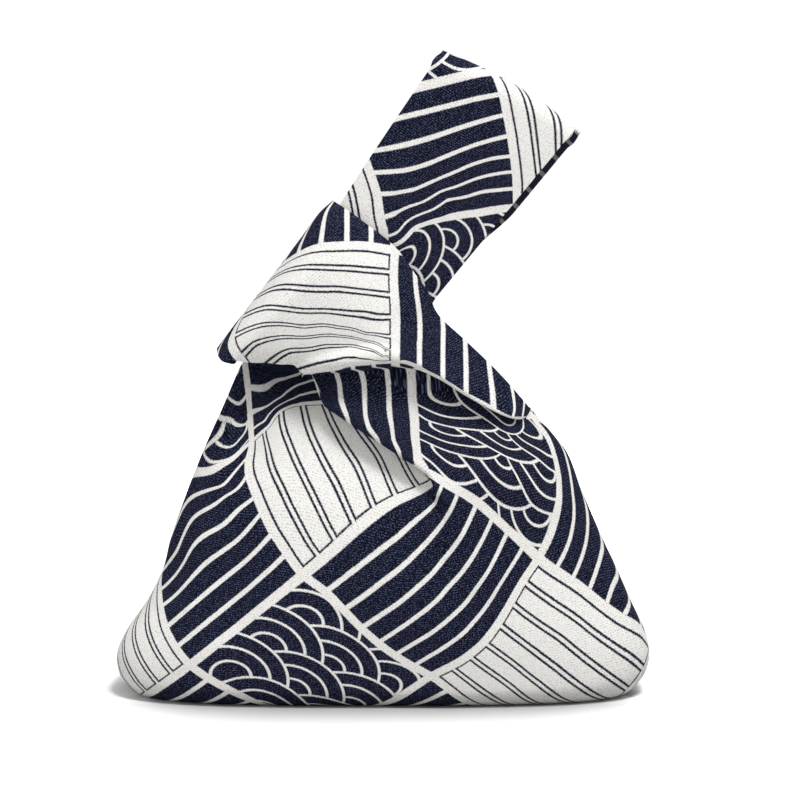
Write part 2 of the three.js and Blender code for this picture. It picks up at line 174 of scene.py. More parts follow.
# The short handle over the knot: its lower lip with the height of the valley behind or under it,
# its loop end, its inner and its outer edge
LIP = table(
    "across x z valley",
    (0, -33.1, 143.9, -1.5),
    (0.12, -21, 145.6, -2.5),
    (0.27, -6.6, 147.2, -2.8),
    (0.39, 5.9, 148.1, -2.6),
    (0.49, 15.5, 146.7, -1.4),
    (0.59, 25.9, 142.1, 0),
    (0.7, 37.2, 135, 0.4),
    (0.85, 51.3, 127.2, 0),
    (0.92, 59, 124.3, -0.6),
    (0.97, 63.8, 124.6, -1.4),
    (1, 66.7, 127.7, -1.7),
)
LOOP_END = table(
    "across x z",
    (0, -73.2, 154.8),
    (0.08, -69.1, 160.4),
    (0.2, -62.8, 168.5),
    (0.39, -53.4, 180.5),
    (0.73, -35.9, 203.4),
    (0.9, -27.4, 214.8),
    (1, -21.5, 220.2),
)
INNER_EDGE = table(
    "along x z",
    (0, -33.1, 143.9),
    (0.065, -35.4, 145.6),
    (0.14, -37.6, 148),
    (0.28, -43.7, 148.3),
    (0.4, -49.2, 149),
    (0.54, -55, 149),
    (0.67, -60.9, 149.5),
    (0.79, -66, 149.9),
    (0.9, -70.9, 151.2),
    (1, -73.2, 154.8),
)
OUTER_EDGE = table(
    "along x z",
    (0, 66.7, 127.7),
    (0.12, 56.3, 139.7),
    (0.21, 48.5, 147.7),
    (0.33, 37.6, 158),
    (0.43, 27.6, 167.2),
    (0.485, 23.7, 172.6),
    (0.54, 21.4, 179),
    (0.615, 15.7, 187),
    (0.73, 6.6, 199.3),
    (0.85, -5.2, 208.8),
    (0.945, -15.2, 216.1),
    (1, -21.5, 220.2),
)

# Depth of the short handle's face across its width, and where it starts to turn round the loop end
HANDLE_FACE = table(
    "across depth turns_at",
    (0, 27.5, 0.72),
    (0.15, 31, 0.76),
    (0.4, 33, 0.79),
    (0.65, 32.5, 0.83),
    (0.85, 27.5, 0.89),
    (0.95, 20, 0.92),
    (1, 12, 0.93),
)
LIP_RIDGE_HEIGHT = 4.5
LIP_RIDGE_AT = 0.08
LIP_RIDGE_SPREAD = 0.11

# The long handle: its two long edges as straight lines from the body to the loop end
LONG_HANDLE = {
    "left_foot": (-61.7, 146),
    "left_end": (27.7, 286.6),
    "right_end": (86.9, 252.6),
    "right_foot_shift": -7.6,
    "left_bow": 2.4,
    "end_bow": 2.6,
}

# Places of the mesh lines across the cloth: 0 to 1 left of the pleat, 1 to 2 in it, 2 to 3 right of it
LEFT_COLUMNS = 8
RIGHT_COLUMNS = 9
SIDE_CROWDING = 1.7
PLEAT_MIDDLE = 1.5
PLEAT_STOPS = (
    (-1, -0.78, -0.62, -0.5, -TURN_PLACE, -0.32, -0.22, -0.08, 0.08, 0.2, 0.29, 0.35)
    + (TURN_PLACE, 0.46, 0.53, 0.62, 0.8, 1)
)
HIDDEN_TURN = LEFT_COLUMNS + PLEAT_STOPS.index(-TURN_PLACE)
VISIBLE_TURN = LEFT_COLUMNS + PLEAT_STOPS.index(TURN_PLACE)
WALL_ROWS = 23
WALL_CROWDING = 1.35
FLOOR_ROWS = 3
CORNER_ROWS = 3
LONG_HANDLE_ROWS = 18
SHORT_HANDLE_ROWS = 13
STRAP_END_ROWS = 2
LOOP_TURN_ROWS = 5
LEDGE_ROWS = 10
LEDGE_RISE = 1.5
LEDGE_PRINT_LAG = 3
LIP_ROLL = 4
LIP_ROLL_RISE = -1
RIDGE_ROUNDNESS = 0.6

# Smoothing of the finished cloth in depth, above a height in millimetres
SMOOTHED_ABOVE = 100
SMOOTHING_PASSES = 2
SMOOTHING = 0.5
WELD_DISTANCE = 1e-6
TINY = 1e-9

SIDES = {
    "front_panel": {
        "facing": -1,
        "pleat": FRONT_PLEAT,
        "folds": FRONT_FOLDS,
        "handle_shift": (0, 0),
    },
    "back_panel": {
        "facing": 1,
        "pleat": BACK_PLEAT,
        "folds": BACK_FOLDS,
        "handle_shift": (2.4, -2),
    },
}

# The print's lines on the front, read off the photograph, with the pixels that each passes through.
# They are sorted by the square they start or lie in, counted across the print (q) or down it (p): 0 is
# the seam before the square, 1 to 6 are its stripes, and other numbers are places between these.
STRIPES = 7
PRINT_REPEAT = 4


def line_marks(lines):
    """Each pixel on the print's lines, with the line's direction and place in squares."""
    return [
        (direction, square + stripe / STRIPES, pixel)
        for (direction, square), stripes in lines.items()
        for stripe, pixels in stripes.items()
        for pixel in pixels
    ]


def scale_marks(marks):
    """The same for single pixels on the waves, each known across the print, down it or both."""
    rows = [dict(zip(marks, values)) for values in zip(*marks.values())]
    return [
        (direction, row[direction], (row["px"], row["py"]))
        for row in rows
        for direction in ("q", "p")
        if not math.isnan(row[direction])
    ]


# Below the tip of the pleat, where the cloth lies in one layer
MIDDLE_LINES = {
    ("q", 2): {0: [(303, 575), (325, 591), (360, 627), (383, 647), (414, 667), (431, 676)]},
    ("p", 1): {
        0: [(303, 575), (333, 550), (378, 511), (400, 498), (416, 492), (426, 487)],
        1: [(327, 591), (366, 561), (399, 536), (423, 515)],
        2: [(345, 609), (383, 581), (416, 553), (441, 525)],
        3: [(363, 627), (399, 603), (433, 573), (459, 540)],
        4: [(381, 641), (416, 617), (449, 586), (476, 551)],
        5: [(398, 653), (433, 632), (466, 603), (489, 570)],
        6: [(415, 665), (449, 644), (476, 619), (499, 586)],
    },
    ("p", 2): {0: [(431, 676), (459, 662), (487, 639), (507, 609), (524, 579), (538, 558)]},
}
LEFT_LINES = {
    ("q", 1): {0: [(163, 570), (160, 590), (190, 665), (250, 700)]},
    ("q", 2): {
        0: [
            (245, 365), (249, 405), (251, 423), (252, 440), (248, 462),
            (250, 478), (255, 491), (263, 511), (274, 533), (288, 554),
        ],
        1: [(264, 434), (268, 451), (281, 487), (295, 516), (319, 556)],
        2: [(281, 414), (288, 441), (298, 465), (316, 502), (337, 542)],
        3: [(304, 409), (312, 437), (326, 466), (342, 496), (356, 526)],
        4: [(325, 406), (337, 432), (355, 462), (365, 484), (375, 509)],
        5: [(357, 427), (378, 456), (395, 494)],
        6: [(402, 460), (420, 490)],
    },
    ("q", 3): {0: [(431, 474)]},
    ("p", -1): {
        4: [(250, 387), (276, 380), (296, 376)],
        5: [(254, 410), (270, 405), (282, 397), (293, 387), (304, 382)],
        6: [(256, 426), (266, 421)],
    },
    ("p", 0): {
        0: [
            (193, 474), (221, 465), (234, 458), (252, 441), (264, 430),
            (272, 420), (280, 411), (291, 406), (307, 403), (322, 402),
        ],
        1: [(190, 499), (223, 486), (250, 453)],
        2: [(178, 549), (193, 518), (226, 495), (247, 474)],
        3: [(165, 586), (190, 551), (226, 523), (257, 495)],
        4: [(163, 605), (196, 573), (224, 550), (261, 513)],
        5: [(168, 626), (271, 535)],
        6: [(179, 645), (284, 556)],
    },
    ("p", 1): {0: [(190, 665)]},
}

# Where the outlines and rings of the waves' scales pass, left and right of the pleat
LEFT_SCALE_MARKS = table(
    "q p px py",
    (1.856, -0.137, 234.3, 445.7),
    (1.856, -0.245, 232.5, 419),
    (1.749, -0.262, 218, 414.5),
    (1.962, -0.268, 246.5, 424),
    (1.856, -0.353, 236, 403.6),
    (1.676, -0.125, 204.5, 448.6),
)
RIGHT_SCALE_MARKS = table(
    "q p px py",
    (3.895, 1.531, 500, 414.6),
    (3.573, 1.248, 454.8, 427.7),
    (3.573, 1.814, 538.5, 459.2),
    (3.41, 1.489, 501.5, 453.7),
    (3.41, 1.573, 506.3, 456.5),
    (3.248, 1.248, 457.6, 453.7),
    (3.248, 1.814, 531.6, 504.4),
    (3.828, None, 417.8, 401.6),
    (3.644, None, 417.8, 411.2),
    (3.503, None, 420.6, 427.7),
    (3.319, None, 421.9, 437.3),
    (3.733, None, 554.9, 457.1),
    (3.604, None, 554.9, 470.2),
    (3.408, None, 557.7, 498.3),
    (3.279, None, 554.9, 514),
)
RIGHT_LINES = {
    ("q", 2): {
        1: [(450, 668), (484, 692)],
        2: [(469, 656), (509, 685)],
        3: [(485, 643), (526, 674), (564, 702)],
        4: [(500, 625), (542, 657), (602, 700)],
        5: [(513, 604), (559, 637), (627, 689)],
        6: [(526, 583), (559, 607), (592, 631), (641, 667)],
    },
    ("q", 3): {
        0: [
            (431, 474), (446, 484), (463, 493), (482, 506), (514, 535),
            (532, 552), (538, 558), (576, 584), (622, 619), (640, 629),
        ],
        5.6: [(312, 371), (336, 366), (387, 362), (411, 364)],
        5.9: [(424, 371), (441, 378)],
        6.3: [(463, 392), (486, 404)],
        6.8: [(511, 418)],
    },
    ("q", 4): {0: [(531, 416)]},
    ("p", 0): {
        3: [(311, 375), (318, 392), (320, 401)],
        4: [(335, 370), (340, 386), (341, 400), (348, 419)],
        5: [(360, 367), (364, 382), (365, 415), (369, 429), (379, 441)],
        6: [(386, 366), (389, 396), (391, 422), (393, 441), (400, 453)],
    },
    ("p", 1): {
        0: [(411, 368), (412, 396), (415, 422), (416, 447), (417, 461), (425, 470)],
        1: [(438, 495)],
        2: [(457, 495)],
        3: [(474, 510)],
        4: [(490, 524)],
        5: [(505, 537)],
        6: [(521, 551)],
    },
    ("p", 2): {
        0: [(531, 414), (548, 438), (554, 455), (559, 480), (559, 499), (554, 522)],
        1: [(556, 569), (568, 545), (574, 515), (571, 480)],
        2: [(570, 583), (581, 559), (587, 534), (587, 511)],
        3: [(587, 595), (597, 568), (602, 542)],
        4: [(605, 608), (612, 587), (616, 568)],
        5: [(622, 619), (629, 599)],
    },
    ("p", 3): {-0.35: [(641, 666)]},
}
SHORT_HANDLE_LINES = {
    ("q", 4): {
        0.24: [(302, 368), (324, 362), (365, 360), (398, 359)],
        1: [(273, 361), (291, 350), (324, 346), (354, 345), (376, 350)],
        2: [(241, 357), (255, 343), (283, 337), (332, 335), (354, 338), (387, 353)],
        3: [(234, 336), (252, 328), (305, 327), (338, 328), (365, 334), (390, 336)],
        4: [(241, 318), (252, 312), (283, 309), (338, 312), (365, 314), (390, 317)],
        5: [(252, 296), (272, 289), (291, 287), (338, 289), (365, 292), (390, 295)],
        6: [(263, 283), (283, 272), (310, 267), (338, 268), (365, 270), (390, 272)],
        6.76: [(283, 266), (318, 252), (365, 251), (390, 255)],
        0: [(312, 372), (336, 367), (387, 362), (411, 364)],
        0.12: [(427, 371), (441, 378), (463, 392), (486, 404), (511, 418), (527, 418)],
    },
    ("p", 0): {
        0: [(240, 320), (231, 340), (235, 352), (243, 361)],
        0.22: [(236, 341), (244, 356)],
        3: [(301, 244)],
        4: [(323, 228)],
        5: [(347, 228)],
        6: [(371, 238)],
    },
    ("p", 1): {
        0: [(395, 250), (395, 300), (395, 356)],
        1: [(415, 278), (420, 323)],
        2: [(443, 323), (443, 378)],
        3: [(465, 340), (466, 392)],
        4: [(489, 364), (493, 406)],
        5: [(512, 388), (515, 410)],
    },
    ("p", 2): {0: [(531, 414)]},
}
LONG_HANDLE_LINES = {
    ("q", 1): {0: [(347, 109), (370, 173), (377, 194), (380, 218), (385, 238), (383, 248)]},
    ("q", 2): {
        0: [(492, 73), (503, 94), (507, 114), (511, 135), (514, 156), (517, 190), (517, 209)],
        1: [(522, 91), (539, 177)],
        2: [(549, 107), (559, 159)],
        3: [(574, 123)],
    },
    ("p", 0): {
        0: [(347, 109), (419, 87), (455, 78), (492, 73)],
        1: [(399, 118), (503, 94)],
        2: [(379, 150), (507, 114)],
        3: [(370, 173), (511, 135)],
        4: [(377, 194), (514, 156)],
        5: [(380, 218), (400, 211), (427, 201), (453, 188), (482, 177), (509, 172)],
        6: [(385, 238), (400, 231), (421, 214), (448, 199), (480, 192), (509, 189)],
    },
    ("p", 1): {0: [(383, 248), (411, 230), (427, 223), (453, 217), (480, 213), (511, 208)]},
}

# The print on the back: whole squares laid at 45 degrees to the base
BACK_PRINT_TURN = math.radians(45)
BACK_PRINT_SHIFT = (2.35, 0.75)

# How the print is fitted to its marks, and how many neighbours are read round each of them
PRINT_GIVE = 0.0015
NEIGHBOURS = 2
RIGHT_REFERENCE = LEFT_COLUMNS + len(PLEAT_STOPS) + 2

# The height under which the body's cloth lies in one layer, and the height over which the print goes
# from the body's cloth to the long handle's, in millimetres
PLEAT_TIP = 94
FOOT_PRINT_HEIGHT = 12


def mix(start, end, share):
    return start + (end - start) * share


def smooth(share):
    eased = np.clip(share, 0, 1)
    return eased * eased * (3 - 2 * eased)


def read(rows, key, at, column):
    """A table's column at any places along its key, on one smooth curve through the rows."""
    keys = rows[key]
    values = rows[column]
    last = len(keys) - 1
    before = np.maximum(np.arange(last + 1) - 1, 0)
    after = np.minimum(np.arange(last + 1) + 1, last)
    slopes = (values[after] - values[before]) / (keys[after] - keys[before])
    place = np.clip(at, keys[0], keys[-1])
    upper = np.clip(np.searchsorted(keys, place, side="right"), 1, last)
    lower = upper - 1
    span = keys[upper] - keys[lower]
    t = (place - keys[lower]) / span
    leave = t * (1 - t) ** 2 * span * slopes[lower]
    arrive = t * t * (t - 1) * span * slopes[upper]
    return mix(values[lower], values[upper], t * t * (3 - 2 * t)) + leave + arrive


def refined(stops, parts):
    """The same stops with each step between them cut in even parts."""
    count = (len(stops) - 1) * parts + 1
    return np.interp(np.linspace(0, len(stops) - 1, count), np.arange(len(stops)), stops)


def round_step(offset):
    return np.sin(np.clip(offset / TURN_SPREAD, -1, 1) * np.pi / 2)


def turn_for(push):
    """Where the pleat's cloth turns back, as a share of its half width."""
    tip_push = FOLD_HALF_WIDTH / np.pi
    before = mix(TURN_PLACE, TIP_TURN, push / tip_push)
    beyond = np.arccos(np.minimum(tip_push / np.maximum(push, tip_push), 1)) / np.pi
    return np.where(push <= tip_push, before, np.maximum(TIP_TURN, beyond))


def pleat_section(side, height, place):
    """The pleat's cloth at a height: where it lies before and after the push, and its step in depth."""
    push = read(side["pleat"], "z", height, "push")
    turn = turn_for(push)
    away = np.abs(place)
    inside = away * turn / TURN_PLACE
    outside = mix(turn, 1, (away - TURN_PLACE) / (1 - TURN_PLACE))
    unpushed = np.sign(place) * np.where(away < TURN_PLACE, inside, outside)
    plain = FOLD_HALF_WIDTH * unpushed
    pushed = plain - push * np.sin(np.pi * unpushed)
    turned = FOLD_HALF_WIDTH * turn - push * np.sin(np.pi * turn)
    centre = read(side["pleat"], "z", height, "edge") - turned
    hidden = read(side["pleat"], "z", height, "under") * (1 - round_step(unpushed + turn)) / 2
    visible = read(side["pleat"], "z", height, "over") * (1 + round_step(unpushed - turn)) / 2
    return centre + plain, centre + pushed, hidden - visible


def fold_height(folds, x, z):
    """How much the soft folds raise the cloth at places seen from the front."""
    height = np.zeros(np.broadcast(x, z).shape)
    for x1, z1, x2, z2, width, rise in zip(*folds.values()):
        dx = x2 - x1
        dz = z2 - z1
        nearest = np.clip(((x - x1) * dx + (z - z1) * dz) / (dx * dx + dz * dz), 0, 1)
        away = np.hypot(x - x1 - dx * nearest, z - z1 - dz * nearest)
        height += rise * np.exp(-((away / width) ** 2))
    return height


def top_height(across, x):
    """Height of the body's upper edge under the knot, for columns whose upper end is at x."""
    share = np.clip((x - LIP["x"][0]) / (LIP["x"][-1] - LIP["x"][0]), 0, 1)
    under_lip = read(LIP, "across", share, "z") + read(LIP, "across", share, "valley")
    left_share = np.clip(across / (PLEAT_MIDDLE - TURN_PLACE / 2), 0, 1)
    behind_knot = mix(LEFT_TOP, FOLD_TOP, left_share)
    return np.where(across >= PLEAT_MIDDLE + TURN_PLACE / 2 - TINY, under_lip, behind_knot)


def wall_points(side, across, up):
    """The body's wall, from 0 at the floor's round corner to 1 under the knot: x, depth and height."""

    def rise(top):
        return mix(FLOOR_CORNER_RADIUS, top, up)

    place = np.clip((across - PLEAT_MIDDLE) * 2, -1, 1)
    left_share = 1 - np.clip(across, 0, 1) ** SIDE_CROWDING
    right_share = 1 - np.clip(3 - across, 0, 1) ** SIDE_CROWDING

    def spread(start, end, middle):
        right_of_pleat = np.where(across > 2, right_share, 0)
        return np.where(across < 1, mix(middle, start, left_share), mix(middle, end, right_of_pleat))

    left = read(OUTLINE, "z", rise(LEFT_TOP), "left")
    right = read(OUTLINE, "z", rise(RIGHT_TOP), "right")
    plain, pushed, step = pleat_section(side, rise(FOLD_TOP), place)
    plain_x = spread(left, right, plain)
    x = spread(left, right, pushed)

    top_pushed = pleat_section(side, np.array(float(FOLD_TOP)), place)[1]
    top_left = read(OUTLINE, "z", np.array(float(LEFT_TOP)), "left")
    top_right = read(OUTLINE, "z", np.array(float(RIGHT_TOP)), "right")
    z = rise(top_height(across, spread(top_left, top_right, top_pushed)))

    half = (right - left) / 2
    sideways = np.clip((plain_x - (left + right) / 2) / half, -1, 1)
    squareness = read(BULGE, "z", z, "squareness")
    roundness = (1 - np.abs(sideways) ** squareness) ** (1 / squareness)
    left_gap = read(ARMHOLES, "z", rise(LEFT_TOP), "left")
    right_gap = read(ARMHOLES, "z", rise(RIGHT_TOP), "right")
    edge_depth = mix(left_gap, right_gap, (sideways + 1) / 2)
    full_depth = read(BULGE, "z", z, "depth")
    left_fade = np.where(across < 1, smooth(across), 1)
    right_fade = np.where(across > 2, 1 - smooth(across - 2), 1)
    raised = fold_height(side["folds"], x, z) * roundness
    depth = edge_depth + (full_depth - edge_depth) * roundness - step * left_fade * right_fade + raised
    return np.stack([x, np.maximum(depth, SEAM_GAP / 2), z + 0 * x], axis=-1)


def body_points(side, across, up):
    """The body, from -2 at the base's middle seam, over -1 at the floor's edge, to 1 under the knot."""
    across = across[None, :]
    up = up[:, None]
    points = wall_points(side, across, np.clip(up, 0, 1))
    angle = np.clip(up + 1, 0, 1) * np.pi / 2
    inset = 1 - np.sin(angle)
    floor_share = np.clip(up + 2, 0, 1)
    end_share = 1 - np.clip(-up, 0, 1) * FLOOR_END_INSET / (BASE_WIDTH / 2)
    depth_share = 1 - inset * FLOOR_CORNER_RADIUS / (BODY_DEPTH / 2)
    points[..., 0] *= end_share * mix(CENTRE_SEAM_SHARE, 1, floor_share)
    points[..., 1] = np.maximum(points[..., 1] * depth_share * floor_share, SEAM_GAP / 2)
    corner_height = FLOOR_CORNER_RADIUS * (1 - np.cos(angle)) + 0 * points[..., 2]
    points[..., 2] = np.where(up >= 0, points[..., 2], corner_height)
    return points


def long_handle_points(side, foot, along):
    """The long handle's half, from its foot on the body to its loop end."""
    across = (foot[:, 0] - foot[0, 0]) / (foot[-1, 0] - foot[0, 0])
    along = along[:, None]
    settled = smooth(along / STRAP_SETTLES_AT)
    slipped = smooth((along - STRAP_SLIPS_FROM) / STRAP_SLIP_LENGTH)
    left = LONG_HANDLE["left_foot"]
    right = (foot[-1, 0] + LONG_HANDLE["right_foot_shift"], foot[-1, 2])
    sides = []
    for axis in range(2):
        shift = side["handle_shift"][axis] * slipped
        start = mix(left[axis], LONG_HANDLE["left_end"][axis], along) + shift
        end = mix(right[axis], LONG_HANDLE["right_end"][axis], along) + shift
        sides.append(mix(start, end, across))
    bow = LONG_HANDLE["left_bow"] * np.sin(np.pi * along) * (1 - across)
    flat = STRAP_HALF_GAP + STRAP_CROWN * np.sin(np.pi * across)
    depth = mix(foot[:, 1], flat, settled)
    end = np.clip((along - 1 + STRAP_END_ROUND) / STRAP_END_ROUND, 0, 1)
    depth = np.maximum(depth * np.sqrt(1 - end * end), SEAM_GAP / 2)
    end_bow = LONG_HANDLE["end_bow"] * np.sin(np.pi * across) * along**3
    points = np.stack([sides[0] - bow + end_bow / 2, depth, sides[1] + end_bow], axis=-1)
    return points + (foot - points[0]) * (1 - smooth(along / FOOT_SETTLES_AT))[..., None]


def short_handle_points(across, along):
    """The short handle's half: a patch between its lip, its loop end and its two edges."""
    face = read(HANDLE_FACE, "across", across, "depth")
    turns_at = read(HANDLE_FACE, "across", across, "turns_at")

    def patch(axis):
        lip = read(LIP, "across", across, axis)
        end = read(LOOP_END, "across", across, axis)
        inner = read(INNER_EDGE, "along", along, axis)
        outer = read(OUTER_EDGE, "along", along, axis)
        near = mix(LIP[axis][0], LIP[axis][-1], across)
        far = mix(LOOP_END[axis][0], LOOP_END[axis][-1], across)
        return mix(lip, end, along) + mix(inner, outer, across) - mix(near, far, along)

    ridge = np.exp(-(((along - LIP_RIDGE_AT) / LIP_RIDGE_SPREAD) ** 2))
    raised = LIP_RIDGE_HEIGHT * ridge * np.sin(np.pi * np.clip(across, 0, 1)) ** RIDGE_ROUNDNESS
    turn = np.clip((along - turns_at) / (1 - turns_at), 0, 1)
    depth = (face + raised) * np.sqrt(1 - turn * turn)
    return np.stack([patch("x"), np.maximum(depth, SEAM_GAP / 2), patch("z")], axis=-1)


def short_handle_grid(foot, parts):
    """The short handle's rows: the ledge under its lip, its face and its turn round the loop end."""
    share = (foot[:, 0] - foot[0, 0]) / (foot[-1, 0] - foot[0, 0])
    share = share[None, :]
    turns_at = read(HANDLE_FACE, "across", share, "turns_at")
    face = np.linspace(0, 1, SHORT_HANDLE_ROWS * parts + 1)[:, None]
    turn = np.sin(np.linspace(0, 1, LOOP_TURN_ROWS * parts + 1)[1:, None] * np.pi / 2)
    along = np.concatenate([face * turns_at, mix(turns_at, 1, turn)])
    points = short_handle_points(share + 0 * along, along)

    lip = points[0]
    t = np.linspace(0, 1, LEDGE_ROWS + 1)[:-1, None, None]
    rising = foot + np.array([0, 0, LEDGE_RISE])
    rolling = lip + np.array([0, -LIP_ROLL, LIP_ROLL_RISE])
    ledge = (1 - t) ** 3 * foot + 3 * t * (1 - t) ** 2 * rising
    ledge = ledge + 3 * t * t * (1 - t) * rolling + t**3 * lip
    return np.concatenate([ledge, points])


def running_length(steps, axis):
    """Length gathered along one direction of a grid of steps, from nought at its first line."""
    lengths = np.cumsum(steps, axis=axis)
    return np.concatenate([np.zeros_like(np.take(lengths, [0], axis=axis)), lengths], axis=axis)


def body_cloth_places(points, reference_column, corner_row):
    """Where each point of the body lies on its flat cloth, in millimetres."""
    across_steps = np.diff(points, axis=1)
    across = running_length(np.hypot(across_steps[..., 0], across_steps[..., 1]), 1)
    across += points[:, [reference_column], 0] - across[:, [reference_column]]
    up_steps = np.diff(points, axis=0)
    up = running_length(np.hypot(up_steps[..., 1], up_steps[..., 2]), 0)
    up += FLOOR_CORNER_RADIUS - up[[corner_row], :]
    return np.stack([across, up], axis=-1)


def handle_cloth_places(points):
    """Where each point of a handle lies on its cloth laid flat in the front view, in millimetres."""
    steps = np.diff(points, axis=0)
    true = running_length(np.linalg.norm(steps, axis=-1), 0)
    seen = running_length(np.hypot(steps[..., 0], steps[..., 2]), 0)
    hidden = (true - seen).mean(axis=1, keepdims=True)
    run = points[-1] - points[0]
    direction = run[:, [0, 2]] / np.hypot(run[:, 0], run[:, 2])[:, None]
    return points[..., [0, 2]] + direction * hidden[..., None]


def bend(places, holds):
    """How a thin plate bends at some places for each place that holds it."""
    gaps = np.linalg.norm(places[:, None] - holds[None], axis=-1)
    return gaps**2 * np.log(np.maximum(gaps, TINY))


def spread_numbers(holds, numbers, places):
    """Numbers known at some places, spread smoothly over others as a thin plate bends."""
    count = len(numbers)
    flat = np.column_stack([np.ones(count), holds])
    stiffness = bend(holds, holds) + PRINT_GIVE * np.eye(count)
    system = np.block([[stiffness, flat], [flat.T, np.zeros((3, 3))]])
    solved = np.linalg.solve(system, np.concatenate([numbers, np.zeros(3)]))
    wanted = places.reshape(-1, 2)
    spread = bend(wanted, holds) @ solved[:count] + solved[count] + wanted @ solved[count + 1 :]
    return spread.reshape(places.shape[:-1])


def marks_on_cloth(marks, pixels, places):
    """Where the print's marks lie on the cloth, from the part of its grid seen at each pixel."""
    rows, columns = pixels.shape[:2]
    found = []
    for direction, number, pixel in marks:
        nearest = ((pixels - pixel) ** 2).sum(axis=-1).argmin()
        row = np.clip(nearest // columns, NEIGHBOURS, rows - 1 - NEIGHBOURS)
        column = np.clip(nearest % columns, NEIGHBOURS, columns - 1 - NEIGHBOURS)
        block = tuple(slice(at - NEIGHBOURS, at + NEIGHBOURS + 1) for at in (row, column))
        offsets = (pixels[block] - pixel).reshape(-1, 2)
        local = np.column_stack([np.ones(len(offsets)), offsets])
        place = np.linalg.lstsq(local, places[block].reshape(-1, 2), rcond=None)[0][0]
        found.append((direction, number, place))
    return found


def print_places(marks, places):
    """The print's squares across and down at each place on the cloth."""
    square = bpy.context.scene.bag_print.square
    found = []
    for wanted in ("q", "p"):
        known = [(number, place) for direction, number, place in marks if direction == wanted]
        numbers, holds = (np.array(values) for values in zip(*known))
        found.append(spread_numbers(holds / square, numbers, places / square))
    return np.stack(found, axis=-1)


def back_print_places(places, square):
    """The print's squares across and down on the back, which no photograph shows."""
    cosine = math.cos(BACK_PRINT_TURN) / square
    sine = math.sin(BACK_PRINT_TURN) / square
    across = -places[..., 0]
    up = places[..., 1]
    q = across * cosine + up * sine + BACK_PRINT_SHIFT[0]
    p = across * sine - up * cosine + BACK_PRINT_SHIFT[1]
    return np.stack([q, p], axis=-1)


class BagPrint(bpy.types.PropertyGroup):
    """The print's size and colours, and the weave under it"""

    square: bpy.props.FloatProperty(
        name="Square",
        description="Side of one square of the print, in millimetres",
        default=65,
        min=20,
        max=200,
    )
    navy: bpy.props.FloatVectorProperty(
        name="Navy",
        description="Colour of the printed ink",
        default=(0.0025, 0.0034, 0.0115),
        subtype="COLOR",
    )
    cotton: bpy.props.FloatVectorProperty(
        name="Cotton",
        description="Colour of the bare cloth",
        default=(0.79, 0.775, 0.745),
        subtype="COLOR",
    )
    reverse: bpy.props.FloatVectorProperty(
        name="Reverse",
        description="Colour of the cloth's inner side",
        default=(0.018, 0.021, 0.04),
        subtype="COLOR",
    )
    twill: bpy.props.FloatProperty(
        name="Twill",
        description="Distance between the weave's diagonal lines, in millimetres",
        default=0.95,
        min=0.2,
        max=5,
    )


class BagCloth(bpy.types.PropertyGroup):
    """The cloth's thickness and how finely it is made"""

    thickness: bpy.props.FloatProperty(
        name="Thickness", description="Thickness of the cloth", default=0.0016, unit="LENGTH"
    )
    fineness: bpy.props.IntProperty(
        name="Fineness",
        description="Parts that each step of the cloth's mesh is cut in",
        default=5,
        min=1,
        max=8,
    )


class BagStudio(bpy.types.PropertyGroup):
    """The camera and the lights"""

    lens: bpy.props.FloatProperty(
        name="Lens", description="Focal length in millimetres", default=85
    )
    distance: bpy.props.FloatProperty(
        name="Distance", description="Camera's distance from its target", default=0.85, unit="LENGTH"
    )
    elevation: bpy.props.FloatProperty(
        name="Elevation",
        description="Camera's angle above the level",
        default=math.radians(4),
        subtype="ANGLE",
    )
    target: bpy.props.FloatVectorProperty(
        name="Target",
        description="Point the camera looks at",
        default=(0.00855, 0, 0.1309),
        unit="LENGTH",
    )
    key: bpy.props.FloatProperty(
        name="Key light", description="Power of the key light", default=28, unit="POWER"
    )
    fill: bpy.props.FloatProperty(
        name="Fill light", description="Power of the fill light", default=8, unit="POWER"
    )
    back: bpy.props.FloatProperty(
        name="Back light", description="Power of the back light", default=14, unit="POWER"
    )
    surround: bpy.props.FloatProperty(
        name="Surround", description="Strength of the light from all round", default=0.4, min=0, max=2
    )


SENSOR_WIDTH = 36
IMAGE_WIDTH = 800


def photograph_pixels(points):
    """Where points of the front, given as x, depth and height, are seen in the photograph."""
    studio = bpy.context.scene.bag_studio
    target = np.array(studio.target) / MM
    sine = math.sin(studio.elevation)
    cosine = math.cos(studio.elevation)
    across = points[..., 0] - target[0]
    depth = -points[..., 1] - target[1]
    height = points[..., 2] - target[2]
    ahead = studio.distance / MM + depth * cosine - height * sine
    up = depth * sine + height * cosine
    scale = IMAGE_WIDTH * studio.lens / SENSOR_WIDTH / ahead
    middle = IMAGE_WIDTH / 2
    return np.stack([middle + across * scale, middle - up * scale], axis=-1)


def maths_method(operation):
    """A method that puts one maths node after a socket."""
    return lambda self, *others: self.maths(operation, *others)


